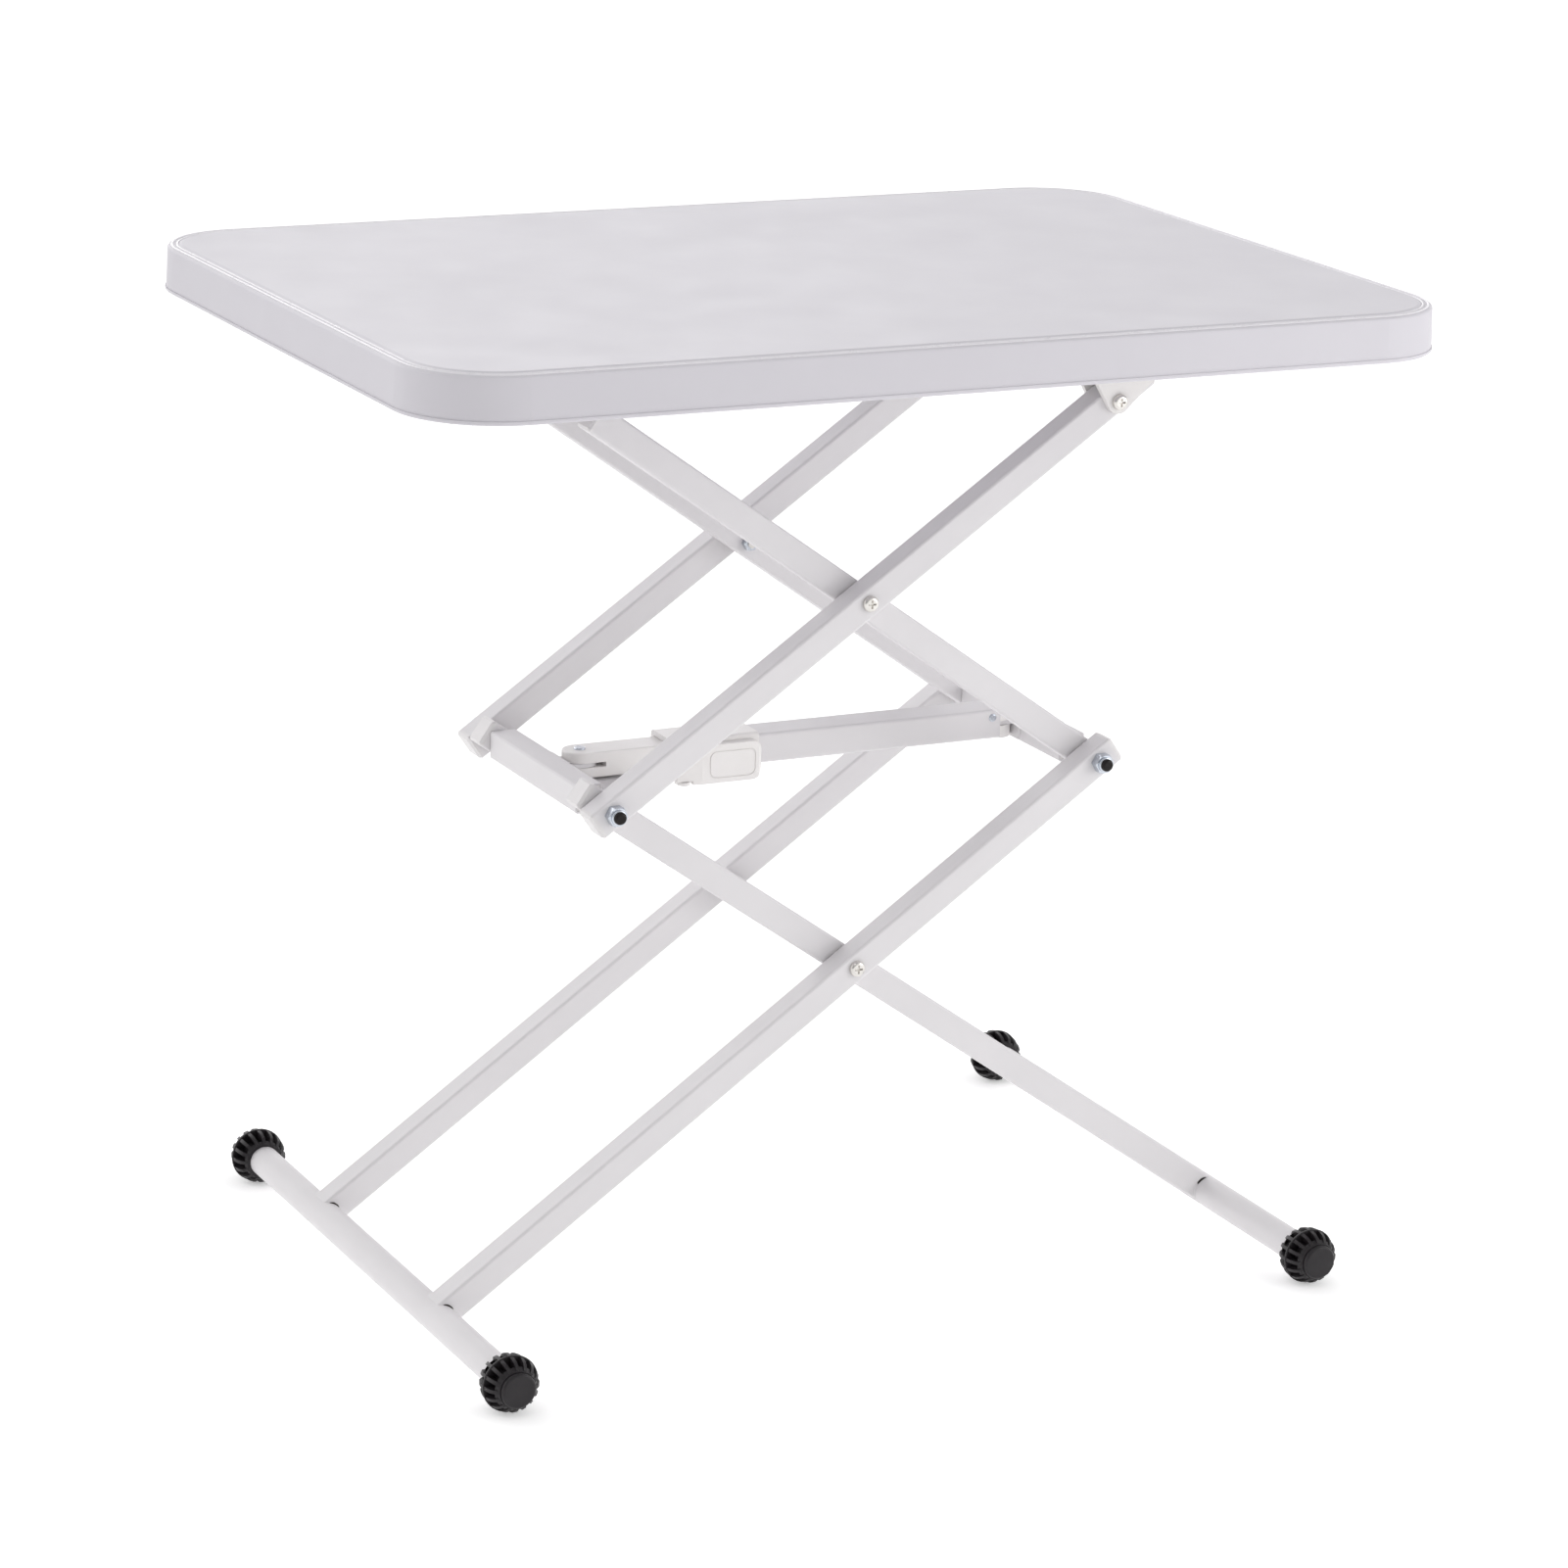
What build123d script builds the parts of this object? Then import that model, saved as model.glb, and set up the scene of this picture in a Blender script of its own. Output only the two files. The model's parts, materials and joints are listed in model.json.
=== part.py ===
from build123d import *
import math
import os

# A height-adjustable folding table: a moulded top on a double scissor of square tubes, with a
# telescopic strut between the two middle pivots that locks the height. Millimetres, +Z up.
# The origin is on the floor below the middle of the top; X runs along the top's long edge.
# The front is -Y. Every leg slopes by FOLD_ANGLE when the table is fully raised.

# Scissor geometry
FOLD_ANGLE = 34.8
UPPER_ARM = 226.2      # upper crossing pivot to the top's hinge, and to the slide rod
MIDDLE_ARM = 229.2     # either crossing pivot to the middle pivots
LOWER_ARM = 377.8      # lower crossing pivot to the foot bars
CENTRE_X = 8.3         # the crossing pivots, from the middle of the top
HINGE_DROP = 48.1      # the top's lower edge to the hinge axis
SLIDE_TRAVEL = 80.5    # how far the slide rod runs when the table folds flat

# Table top
TOP_LENGTH = 760.0
TOP_DEPTH = 536.0
TOP_CORNER = 66.0
SKIRT_HEIGHT = 32.5
SKIRT_WALL = 4.0
SKIRT_LIP = 2.8
LIP_STEP = 0.6
SKIRT_DRAFT = 2.0
DECK = 5.0
RIM_WIDTH = 9.0
RIM_DROP = 1.2
RIM_BEVEL = 2.5
RIB = 3.0
RIB_DEPTH = 10.0

# Square leg tube and its end plugs
TUBE = 20.0
TUBE_WALL = 1.5
TUBE_CORNER = 2.0
TUBE_INSIDE = TUBE - 2 * TUBE_WALL
TUBE_OVERHANG = 12.0   # tube beyond a middle pivot or slide rod
HINGE_OVERHANG = 28.7  # tube beyond the top's hinge
PLUG_HEAD = 3.8
PLUG_DEPTH = 26.0
PLUG_BEVEL = 1.8
OUTER_Y = 105.0        # mid-plane of the outer legs
INNER_Y = 83.5         # mid-plane of the inner legs
OUTER_FACE = OUTER_Y + TUBE / 2
INNER_FACE = INNER_Y - TUBE / 2
OUTER_SPAN = (OUTER_Y - 12, OUTER_Y + 12)
INNER_SPAN = (INNER_Y - 12, INNER_Y + 12)

# Fasteners
STUD_R = 4.0
SCREW_R = 3.0
RUNNING = 0.05         # radial clearance of a pivot
OPEN_PIVOT = 0.2       # radial clearance where the linkage closes on itself
NUT_FLATS = 13.0
NUT_HEIGHT = 8.4
NUT_COLLAR = 1.6
SMALL_NUT_FLATS = 10.0
SMALL_NUT_HEIGHT = 5.0
HEAD_R = 5.7
HEAD_HEIGHT = 3.6
CAP_R = 4.5
CAP_HEIGHT = 2.9
WASHER_R = 8.0
WASHER = 1.4
FACE_GAP = 0.1

# Feet
BAR_R = 11.0
BAR_WALL = 1.5
FOOT_R = 20.0
FOOT_Y = 232.0
FOOT_RIBS = 16
FOOT_RIB = 2.5

# Crossbars and the telescopic strut
BAR_HALF = 73.0
STRUT_UP = 4.1         # strut's axis above the middle pivots
STRUT_WIDTH = 28.0
STRUT_HEIGHT = 21.4
STRUT_WALL = 1.4
SLIDE_GAP = 0.2
STRUT_PIN = 25.5       # strut's end rivets from the middle pivots
TONGUE = 3.0
LEFT_TONGUE_R = 11.8
RIGHT_TONGUE_R = 12.3
FORK_SLOT = 3.4
BRACKET_PLATE = 1.5
PLATE_HALF = 36.0      # half the width of the plate under the left fork
RIVET_R = 2.5
SLIDE_BAR_END = 236.0  # bar's inner end from the left middle pivot
TUBE_START = 95.0      # steel tube's mouth from the left middle pivot
NOTCHES = 9
NOTCH_PITCH = 11.0
NOTCH_START = 108.0

# Lock
HOUSING_START = 88.0
HOUSING_END = 156.0
HOUSING_WALL = 2.4
LEVER_BACK = 17.6      # lever's flat back, in front of the strut's mid-plane
LEVER_FRONT = 24.0
LEVER_TOP = 13.2
LEVER_BOTTOM = -14.5
LEVER_NOTCH = 2.6      # lever's lower left corner, cut away for the housing's ear
LEVER_PIN_X = 97.0
LEVER_PIN_Y = 20.1
LEVER_PIN_R = 1.5

# Places worked out from the above
COS = math.cos(math.radians(FOLD_ANGLE))
SIN = math.sin(math.radians(FOLD_ANGLE))
Z_FOOT = FOOT_R
Z_LOWER = Z_FOOT + LOWER_ARM * SIN
Z_MIDDLE = Z_LOWER + MIDDLE_ARM * SIN
Z_UPPER = Z_MIDDLE + MIDDLE_ARM * SIN
Z_HINGE = Z_UPPER + UPPER_ARM * SIN
Z_SKIRT = Z_HINGE + HINGE_DROP
Z_TOP = Z_SKIRT + SKIRT_HEIGHT
Z_DECK = Z_TOP - DECK
X_LEFT = CENTRE_X - MIDDLE_ARM * COS
X_RIGHT = CENTRE_X + MIDDLE_ARM * COS
X_HINGE = CENTRE_X + UPPER_ARM * COS
X_SLIDE = CENTRE_X - UPPER_ARM * COS
X_FOOT_LEFT = CENTRE_X - LOWER_ARM * COS
X_FOOT_RIGHT = CENTRE_X + LOWER_ARM * COS
Z_STRUT = Z_MIDDLE + STRUT_UP


def block(x0, x1, y0, y1, z0, z1):
    """A box between two corners."""
    middle = Pos((x0 + x1) / 2, (y0 + y1) / 2, (z0 + z1) / 2)
    return middle * Box(abs(x1 - x0), abs(y1 - y0), abs(z1 - z0))


def rod_y(x, z, radius, y0, y1):
    """A round bar along Y."""
    return Pos(x, (y0 + y1) / 2, z) * Rot(90, 0, 0) * Cylinder(radius, abs(y1 - y0))


def rod_z(x, y, radius, z0, z1):
    """A round bar along Z."""
    return Pos(x, y, (z0 + z1) / 2) * Cylinder(radius, abs(z1 - z0))


def outward(side, x, y, z):
    """A frame whose Z points away from the middle of the table, on the given side."""
    return Pos(x, side * y, z) * Rot(-90 * side, 0, 0)


def pair(make):
    """The front and the back copy of a piece, as separate solids."""
    return Compound(children=[make(-1), make(1)])


# Table top ----------------------------------------------------------------------------------

def skirt_block():
    """The top's outer form: a drafted skirt on a low lip, and a stepped rim above."""
    outline = RectangleRounded(TOP_LENGTH, TOP_DEPTH, TOP_CORNER)
    lip = Pos(0, 0, Z_SKIRT + SKIRT_LIP) * extrude(outline, amount=-SKIRT_LIP)
    lip = fillet(lip.faces().sort_by(Axis.Z)[0].edges(), 1.8)
    height = SKIRT_HEIGHT - SKIRT_LIP - RIM_DROP
    step = 2 * LIP_STEP
    inner = RectangleRounded(TOP_LENGTH - step, TOP_DEPTH - step, TOP_CORNER - LIP_STEP)
    body = Pos(0, 0, Z_SKIRT + SKIRT_LIP) * extrude(inner, amount=height, taper=SKIRT_DRAFT)
    body = fillet(body.faces().sort_by(Axis.Z)[-1].edges(), 2.2)
    inset = 2 * RIM_WIDTH
    field = RectangleRounded(TOP_LENGTH - inset, TOP_DEPTH - inset, TOP_CORNER - RIM_WIDTH)
    bevel = math.degrees(math.atan2(RIM_BEVEL, RIM_DROP))
    raised = Pos(0, 0, Z_TOP - RIM_DROP) * extrude(field, amount=RIM_DROP, taper=bevel)
    return lip + body + raised


def underside():
    """The hollow below the deck."""
    inset = 2 * SKIRT_WALL
    outline = RectangleRounded(TOP_LENGTH - inset - 2.6, TOP_DEPTH - inset - 2.6, TOP_CORNER - SKIRT_WALL)
    return Pos(0, 0, Z_SKIRT - 1) * extrude(outline, amount=Z_DECK - Z_SKIRT + 1)


def deck_ribs():
    """Stiffening ribs under the deck, clear of the brackets and the rails."""
    ribs = Part()
    half_x = TOP_LENGTH / 2 - SKIRT_WALL
    half_y = TOP_DEPTH / 2 - SKIRT_WALL
    for y in (-218, -160, -62, 62, 160, 218):
        ribs += block(-half_x, half_x, y - RIB / 2, y + RIB / 2, Z_DECK - RIB_DEPTH, Z_DECK + 1)
    for x in (-320, -100, 0, 100, 300):
        ribs += block(x - RIB / 2, x + RIB / 2, -half_y, half_y, Z_DECK - RIB_DEPTH, Z_DECK + 1)
    return ribs & underside()


def table_top():
    shape = skirt_block() - underside() + deck_ribs()
    for x, y in bracket_screw_places() + rail_screw_places():
        shape -= rod_z(x, y, 1.8, Z_DECK - 1, Z_DECK + 3.6)
    return shape


# Brackets and rails under the top -----------------------------------------------------------

BASE_HALF = 42.0
BASE_IN = 77.5
BASE_OUT = 133.5
BASE_THICK = 4.0
EAR_R = 8.5
EAR = 4.6
RAIL_Y = 16.0
RAIL = 8.0
RAIL_FLANGE = 30.0
RAIL_LIP = 1.6
RAIL_END = 9.0


def bracket_screw_places():
    return [(X_HINGE + sx * 35, side * y) for side in (-1, 1) for sx in (-1, 1) for y in (83.5, 127.5)]


def rail_screw_places():
    xs = (X_SLIDE - SLIDE_TRAVEL + 4, X_SLIDE - 4)
    return [(x, side * RAIL_Y + dy) for side in (-1, 1) for x in xs for dy in (-10, 10)]


def bracket_ear(y0, y1):
    """A tapering cheek with a round lower end about the hinge axis."""
    drop = Z_DECK - BASE_THICK - Z_HINGE
    wide = Polygon((-38, drop), (38, drop), (38, 24), (-38, HINGE_DROP), align=None)
    outline = make_hull((Circle(EAR_R) + wide).edges())
    cheek = Plane.XZ * extrude(outline, amount=abs(y1 - y0))
    return Pos(X_HINGE, max(y0, y1), Z_HINGE) * cheek


def hinge_bracket(side):
    inner = side * (OUTER_Y - TUBE / 2 - 0.5)
    outer = side * (OUTER_FACE + 0.5)
    shape = bracket_ear(outer, outer + side * EAR) + bracket_ear(inner, inner - side * EAR)
    shape += block(X_HINGE - BASE_HALF, X_HINGE + BASE_HALF, side * BASE_IN, side * BASE_OUT,
                   Z_DECK - BASE_THICK, Z_DECK)
    shape += block(X_HINGE - 30, X_HINGE - 27, inner, outer, Z_HINGE + HINGE_DROP, Z_DECK)
    shape -= rod_y(X_HINGE, Z_HINGE, SCREW_R + RUNNING, side * 85, side * 125)
    for x, y in bracket_screw_places():
        shape -= rod_z(x, y, 1.8, Z_DECK - 6, Z_DECK + 1)
    return shape


def slide_rail(side):
    """A hanging plate with a long slot that carries the slide rod."""
    left = X_SLIDE - SLIDE_TRAVEL - RAIL_END
    right = X_SLIDE + RAIL_END
    y0 = side * RAIL_Y - RAIL / 2
    shape = block(left, right, y0, y0 + RAIL, Z_HINGE - STUD_R - RAIL_LIP, Z_DECK)
    shape = fillet(shape.edges().filter_by(Axis.Y).group_by(Axis.Z)[0], 5.0)
    shape += block(left, right, side * RAIL_Y - RAIL_FLANGE / 2, side * RAIL_Y + RAIL_FLANGE / 2,
                   Z_DECK - BASE_THICK, Z_DECK)
    for x in (left + 30, right - 30):
        web = Polygon((-RAIL_FLANGE / 2, 0), (RAIL_FLANGE / 2, 0), (RAIL / 2, -34), (-RAIL / 2, -34),
                      align=None)
        gusset = Plane.YZ * extrude(web, amount=RIB)
        shape += Pos(x, side * RAIL_Y, Z_DECK - BASE_THICK) * gusset
    slot = SlotCenterToCenter(SLIDE_TRAVEL + 1.0, 2 * (STUD_R + 0.1))
    slot = Plane.XZ * extrude(slot, amount=RAIL + 2)
    shape -= Pos(X_SLIDE - SLIDE_TRAVEL / 2, y0 + RAIL + 1, Z_HINGE) * slot
    for x, y in rail_screw_places():
        shape -= rod_z(x, y, 1.8, Z_DECK - 6, Z_DECK + 1)
    return shape


def deck_screw(x, y):
    """A short pan-head screw driven up into the deck."""
    head = rod_z(x, y, 3.4, Z_DECK - BASE_THICK - 2.3, Z_DECK - BASE_THICK)
    head = fillet(head.edges().group_by(Axis.Z)[0], 1.2)
    return head + rod_z(x, y, 1.75, Z_DECK - BASE_THICK, Z_DECK + 3.4)


def hinge_bracket_screws():
    return Compound(children=[deck_screw(x, y) for x, y in bracket_screw_places()])


def slide_rail_screws():
    return Compound(children=[deck_screw(x, y) for x, y in rail_screw_places()])


# Fasteners ----------------------------------------------------------------------------------

def pan_screw(radius, length):
    """A pan-head screw with a cross recess; its head stands on Z = 0 and points up."""
    head = Pos(0, 0, HEAD_HEIGHT / 2) * Cylinder(HEAD_R, HEAD_HEIGHT)
    head = fillet(head.edges().group_by(Axis.Z)[-1], 2.3)
    for turn in (0, 90):
        head -= Pos(0, 0, HEAD_HEIGHT - 0.9) * Rot(0, 0, turn) * Box(6.0, 1.3, 2.2)
    return head + Pos(0, 0, -length / 2) * Cylinder(radius, length)


def hex_nut(flats, height, bore):
    """A hexagon nut standing on Z = 0 with its upper corners turned off."""
    prism = extrude(RegularPolygon(flats / 2, 6, major_radius=False), amount=height)
    turned = Pos(0, 0, height / 2) * Cylinder(flats / math.sqrt(3) - 0.15, height)
    turned = chamfer(turned.edges().group_by(Axis.Z)[-1], 1.0)
    return (prism & turned) - Pos(0, 0, height / 2) * Cylinder(bore, height + 1)


def lock_nut():
    """A hexagon nut with the round collar that holds its locking ring."""
    low = NUT_HEIGHT - NUT_COLLAR
    collar = Pos(0, 0, low + NUT_COLLAR / 2) * Cylinder(5.5, NUT_COLLAR)
    collar = fillet(collar.edges().group_by(Axis.Z)[-1], 1.0)
    collar -= Pos(0, 0, low + 1) * Cylinder(STUD_R + 0.02, 6)
    return hex_nut(NUT_FLATS, low, STUD_R + 0.02) + collar


def flat_washer(radius, bore, thick):
    disc = extrude(Circle(radius) - Circle(bore), amount=thick)
    return disc


def dome_cap():
    """A push-on cap over the end of a stud, open below."""
    dome = Pos(0, 0, CAP_HEIGHT / 2) * Cylinder(CAP_R, CAP_HEIGHT)
    dome = fillet(dome.edges().group_by(Axis.Z)[-1], 2.0)
    return dome - Pos(0, 0, 0.6) * Cylinder(STUD_R + RUNNING, 1.2)


def crossing_screws(x, z):
    """Screws through an outer and an inner leg."""
    length = OUTER_FACE - INNER_FACE + SMALL_NUT_HEIGHT + 1.5
    return pair(lambda side: outward(side, x, OUTER_FACE, z) * pan_screw(SCREW_R, length))


def crossing_nuts(x, z):
    low = INNER_FACE - FACE_GAP - SMALL_NUT_HEIGHT
    nut = hex_nut(SMALL_NUT_FLATS, SMALL_NUT_HEIGHT, SCREW_R + 0.02)
    return pair(lambda side: outward(side, x, low, z) * Pos(0, 0, SMALL_NUT_HEIGHT)
                * Rot(180, 0, 0) * nut)


def leg_washers(x, z, bore):
    """Nylon washers in the gap between an inner and an outer leg."""
    low = INNER_Y + TUBE / 2 + (OUTER_Y - INNER_Y - TUBE - WASHER) / 2
    return pair(lambda side: outward(side, x, low, z) * flat_washer(WASHER_R, bore + RUNNING, WASHER))


def hinge_screws():
    length = 34.0
    start = OUTER_FACE + 0.5 + EAR
    return pair(lambda side: outward(side, X_HINGE, start, Z_HINGE) * pan_screw(SCREW_R, length))


def hinge_nuts():
    low = OUTER_Y - TUBE / 2 - 0.5 - EAR - SMALL_NUT_HEIGHT
    nut = hex_nut(SMALL_NUT_FLATS, SMALL_NUT_HEIGHT, SCREW_R + 0.02)
    return pair(lambda side: outward(side, X_HINGE, low, Z_HINGE) * Pos(0, 0, SMALL_NUT_HEIGHT)
                * Rot(180, 0, 0) * nut)


def middle_studs(x):
    """Studs from inside a crossbar out through both legs, the nut and the cap."""
    return pair(lambda side: rod_y(x, Z_MIDDLE, STUD_R, side * 44, side * (OUTER_FACE + NUT_HEIGHT + 1.2)))


def middle_nuts(x):
    nut = lock_nut()
    return pair(lambda side: outward(side, x, OUTER_FACE + FACE_GAP, Z_MIDDLE) * nut)


def nut_caps(x):
    start = OUTER_FACE + FACE_GAP + NUT_HEIGHT
    return pair(lambda side: outward(side, x, start, Z_MIDDLE) * dome_cap())


# Legs ---------------------------------------------------------------------------------------

def leg_tube(start, end, y):
    """A square tube whose axis runs between two (x, z) points."""
    length = math.dist(start, end)
    slope = math.degrees(math.atan2(end[1] - start[1], end[0] - start[0]))
    section = RectangleRounded(TUBE, TUBE, TUBE_CORNER)
    section -= RectangleRounded(TUBE_INSIDE, TUBE_INSIDE, TUBE_CORNER - TUBE_WALL)
    tube = extrude(Plane.YZ * section, amount=length)
    return Pos(start[0], y, start[1]) * Rot(0, -slope, 0) * tube


def end_plug(place, slope, y):
    """A plastic plug: a bevelled square head outside the tube and a core inside it."""
    head = Pos(PLUG_HEAD / 2, 0, 0) * Box(PLUG_HEAD, TUBE, TUBE)
    head = fillet(head.edges().filter_by(Axis.X), TUBE_CORNER)
    head = chamfer(head.faces().sort_by(Axis.X)[-1].edges(), PLUG_BEVEL)
    size = TUBE_INSIDE - 0.2
    core = Pos(-PLUG_DEPTH / 2, 0, 0) * Box(PLUG_DEPTH, size, size)
    core = fillet(core.edges().filter_by(Axis.X), 1.2)
    return Pos(place[0], y, place[1]) * Rot(0, -slope, 0) * (head + core)


def beyond(x, z, slope, distance):
    """The point a distance from (x, z) along a slope in degrees."""
    angle = math.radians(slope)
    return (x + distance * math.cos(angle), z + distance * math.sin(angle))


RISING = FOLD_ANGLE
FALLING = -FOLD_ANGLE
HINGE_TIP = beyond(X_HINGE, Z_HINGE, RISING, HINGE_OVERHANG)
LEFT_TIP_UP = beyond(X_LEFT, Z_MIDDLE, 180 + RISING, TUBE_OVERHANG)
LEFT_TIP_DOWN = beyond(X_LEFT, Z_MIDDLE, 180 + FALLING, TUBE_OVERHANG)
RIGHT_TIP_UP = beyond(X_RIGHT, Z_MIDDLE, FALLING, TUBE_OVERHANG)
RIGHT_TIP_DOWN = beyond(X_RIGHT, Z_MIDDLE, RISING, TUBE_OVERHANG)
SLIDE_TIP = beyond(X_SLIDE, Z_HINGE, 180 + FALLING, TUBE_OVERHANG)


def bore_y(shape, x, z, radius, side, near, far):
    """Bores a piece along Y between two distances from the mid-plane."""
    return shape - rod_y(x, z, radius, side * near, side * far)


def upper_outer_leg(side):
    leg = leg_tube(LEFT_TIP_UP, HINGE_TIP, side * OUTER_Y)
    leg = bore_y(leg, X_LEFT, Z_MIDDLE, STUD_R + RUNNING, side, *OUTER_SPAN)
    leg = bore_y(leg, CENTRE_X, Z_UPPER, SCREW_R + RUNNING, side, *OUTER_SPAN)
    return bore_y(leg, X_HINGE, Z_HINGE, SCREW_R + RUNNING, side, *OUTER_SPAN)


def upper_outer_plugs():
    def plugs(side):
        low = end_plug(LEFT_TIP_UP, 180 + RISING, side * OUTER_Y)
        high = end_plug(HINGE_TIP, RISING, side * OUTER_Y)
        low = bore_y(low, X_LEFT, Z_MIDDLE, STUD_R + RUNNING, side, *OUTER_SPAN)
        return [low, bore_y(high, X_HINGE, Z_HINGE, SCREW_R + RUNNING, side, *OUTER_SPAN)]
    return Compound(children=plugs(-1) + plugs(1))


def upper_inner_leg(side):
    leg = leg_tube(SLIDE_TIP, RIGHT_TIP_UP, side * INNER_Y)
    leg = bore_y(leg, X_SLIDE, Z_HINGE, STUD_R + RUNNING, side, INNER_SPAN[0], INNER_Y)
    leg = bore_y(leg, CENTRE_X, Z_UPPER, SCREW_R + RUNNING, side, *INNER_SPAN)
    return bore_y(leg, X_RIGHT, Z_MIDDLE, STUD_R + RUNNING, side, *INNER_SPAN)


def upper_inner_plugs():
    def plugs(side):
        low = end_plug(RIGHT_TIP_UP, FALLING, side * INNER_Y)
        high = end_plug(SLIDE_TIP, 180 + FALLING, side * INNER_Y)
        high = bore_y(high, X_SLIDE, Z_HINGE, STUD_R + RUNNING, side, INNER_SPAN[0], INNER_Y)
        return [bore_y(low, X_RIGHT, Z_MIDDLE, STUD_R + RUNNING, side, *INNER_SPAN), high]
    return Compound(children=plugs(-1) + plugs(1))


def slide_rod():
    """The rod between the inner legs that runs in the rails."""
    return rod_y(X_SLIDE, Z_HINGE, STUD_R, -INNER_Y, INNER_Y)


def lower_outer_leg(side):
    leg = leg_tube((X_FOOT_LEFT, Z_FOOT), RIGHT_TIP_DOWN, side * OUTER_Y)
    leg -= rod_y(X_FOOT_LEFT, Z_FOOT, BAR_R, side * 80, side * 120)
    leg = bore_y(leg, CENTRE_X, Z_LOWER, SCREW_R + RUNNING, side, *OUTER_SPAN)
    return bore_y(leg, X_RIGHT, Z_MIDDLE, STUD_R + RUNNING, side, *OUTER_SPAN)


def lower_outer_plug(side):
    plug = end_plug(RIGHT_TIP_DOWN, RISING, side * OUTER_Y)
    return bore_y(plug, X_RIGHT, Z_MIDDLE, STUD_R + RUNNING, side, *OUTER_SPAN)


def lower_inner_leg(side):
    leg = leg_tube((X_FOOT_RIGHT, Z_FOOT), LEFT_TIP_DOWN, side * INNER_Y)
    leg -= rod_y(X_FOOT_RIGHT, Z_FOOT, BAR_R, side * 60, side * 100)
    leg = bore_y(leg, CENTRE_X, Z_LOWER, SCREW_R + OPEN_PIVOT, side, *INNER_SPAN)
    return bore_y(leg, X_LEFT, Z_MIDDLE, STUD_R + RUNNING, side, *INNER_SPAN)


def lower_inner_plug(side):
    plug = end_plug(LEFT_TIP_DOWN, 180 + FALLING, side * INNER_Y)
    return bore_y(plug, X_LEFT, Z_MIDDLE, STUD_R + RUNNING, side, *INNER_SPAN)


# Feet ---------------------------------------------------------------------------------------

def foot_bar(x):
    end = FOOT_Y + 11.0
    return rod_y(x, Z_FOOT, BAR_R, -end, end) - rod_y(x, Z_FOOT, BAR_R - BAR_WALL, -end - 1, end + 1)


def foot_cap():
    """A ribbed round cap, its axis on Z, its flange about Z = 0 and its end disc up."""
    core = Pos(0, 0, 0.5) * Cylinder(12.6, 26.0)
    flange = Pos(0, 0, 2.0) * Cylinder(FOOT_R, 1.8)
    flange = fillet(flange.edges(), 0.6)
    outer_rim = Pos(0, 0, 13.2) * Cone(15.4, 13.2, 3.2)
    inner_rim = Pos(0, 0, -11.5) * Cone(13.6, 14.8, 2.0)
    disc = Pos(0, 0, 15.6) * Cylinder(12.4, 4.8)
    disc = fillet(disc.edges().group_by(Axis.Z)[-1], 2.0)
    fin = make_face(Polyline((12.0, -12.5), (14.0, -12.5), (17.4, -9.5))
                    + Spline((17.4, -9.5), (19.2, -4.0), (19.4, 2.0), (18.4, 8.0), (14.0, 14.2))
                    + Polyline((14.0, 14.2), (12.0, 14.2), (12.0, -12.5)))
    fin = extrude(Plane.XZ * fin, amount=FOOT_RIB / 2, both=True)
    shape = core + flange + outer_rim + inner_rim + disc
    for i in range(FOOT_RIBS):
        shape += Rot(0, 0, 360.0 * i / FOOT_RIBS) * fin
    return shape - Pos(0, 0, -1.5) * Cylinder(BAR_R + RUNNING, 25.2)


def foot_caps(x):
    cap = foot_cap()
    return pair(lambda side: outward(side, x, FOOT_Y, Z_FOOT) * cap)


# Crossbars ----------------------------------------------------------------------------------

def crossbar(x):
    """A square tube between the inner legs, level at every height."""
    section = RectangleRounded(TUBE, TUBE, TUBE_CORNER)
    section -= RectangleRounded(TUBE_INSIDE, TUBE_INSIDE, TUBE_CORNER - TUBE_WALL)
    tube = extrude(Plane.XZ * section, amount=BAR_HALF, both=True)
    return Pos(x, 0, Z_MIDDLE) * tube


def crossbar_inserts(x):
    """Threaded plugs in the crossbar's ends that hold the studs."""
    size = TUBE_INSIDE - 0.2

    def insert(side):
        body = block(x - size / 2, x + size / 2, side * 40, side * BAR_HALF,
                     Z_MIDDLE - size / 2, Z_MIDDLE + size / 2)
        body = fillet(body.edges().filter_by(Axis.Y), 1.2)
        return bore_y(body, x, Z_MIDDLE, STUD_R + 0.02, side, 43, BAR_HALF + 1)
    return pair(insert)


# Strut --------------------------------------------------------------------------------------

def strut_bracket(x, way, tongue_r, plate_length):
    """A flange on the crossbar with a level tongue that the strut's fork holds; a plate below it
    carries the left fork."""
    face = TUBE / 2
    pin = x + way * STRUT_PIN
    shape = block(x + way * face, x + way * (face + BRACKET_PLATE), -15, 15,
                  Z_MIDDLE - 8.5, Z_MIDDLE + 8.5)
    tongue = block(x + way * face, pin, -tongue_r, tongue_r, Z_STRUT - TONGUE / 2,
                   Z_STRUT + TONGUE / 2)
    tongue += rod_z(pin, 0, tongue_r, Z_STRUT - TONGUE / 2, Z_STRUT + TONGUE / 2)
    shape += tongue
    if plate_length:
        plate = block(x + way * face, x + way * plate_length, -PLATE_HALF, PLATE_HALF,
                      Z_MIDDLE - 8.5, Z_MIDDLE - 8.5 + BRACKET_PLATE)
        shape += fillet(plate.edges().filter_by(Axis.Z).group_by(Axis.X)[-1], 8.0)
    return shape - rod_z(pin, 0, RIVET_R + RUNNING, Z_MIDDLE - 12, Z_MIDDLE + 12)


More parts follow.
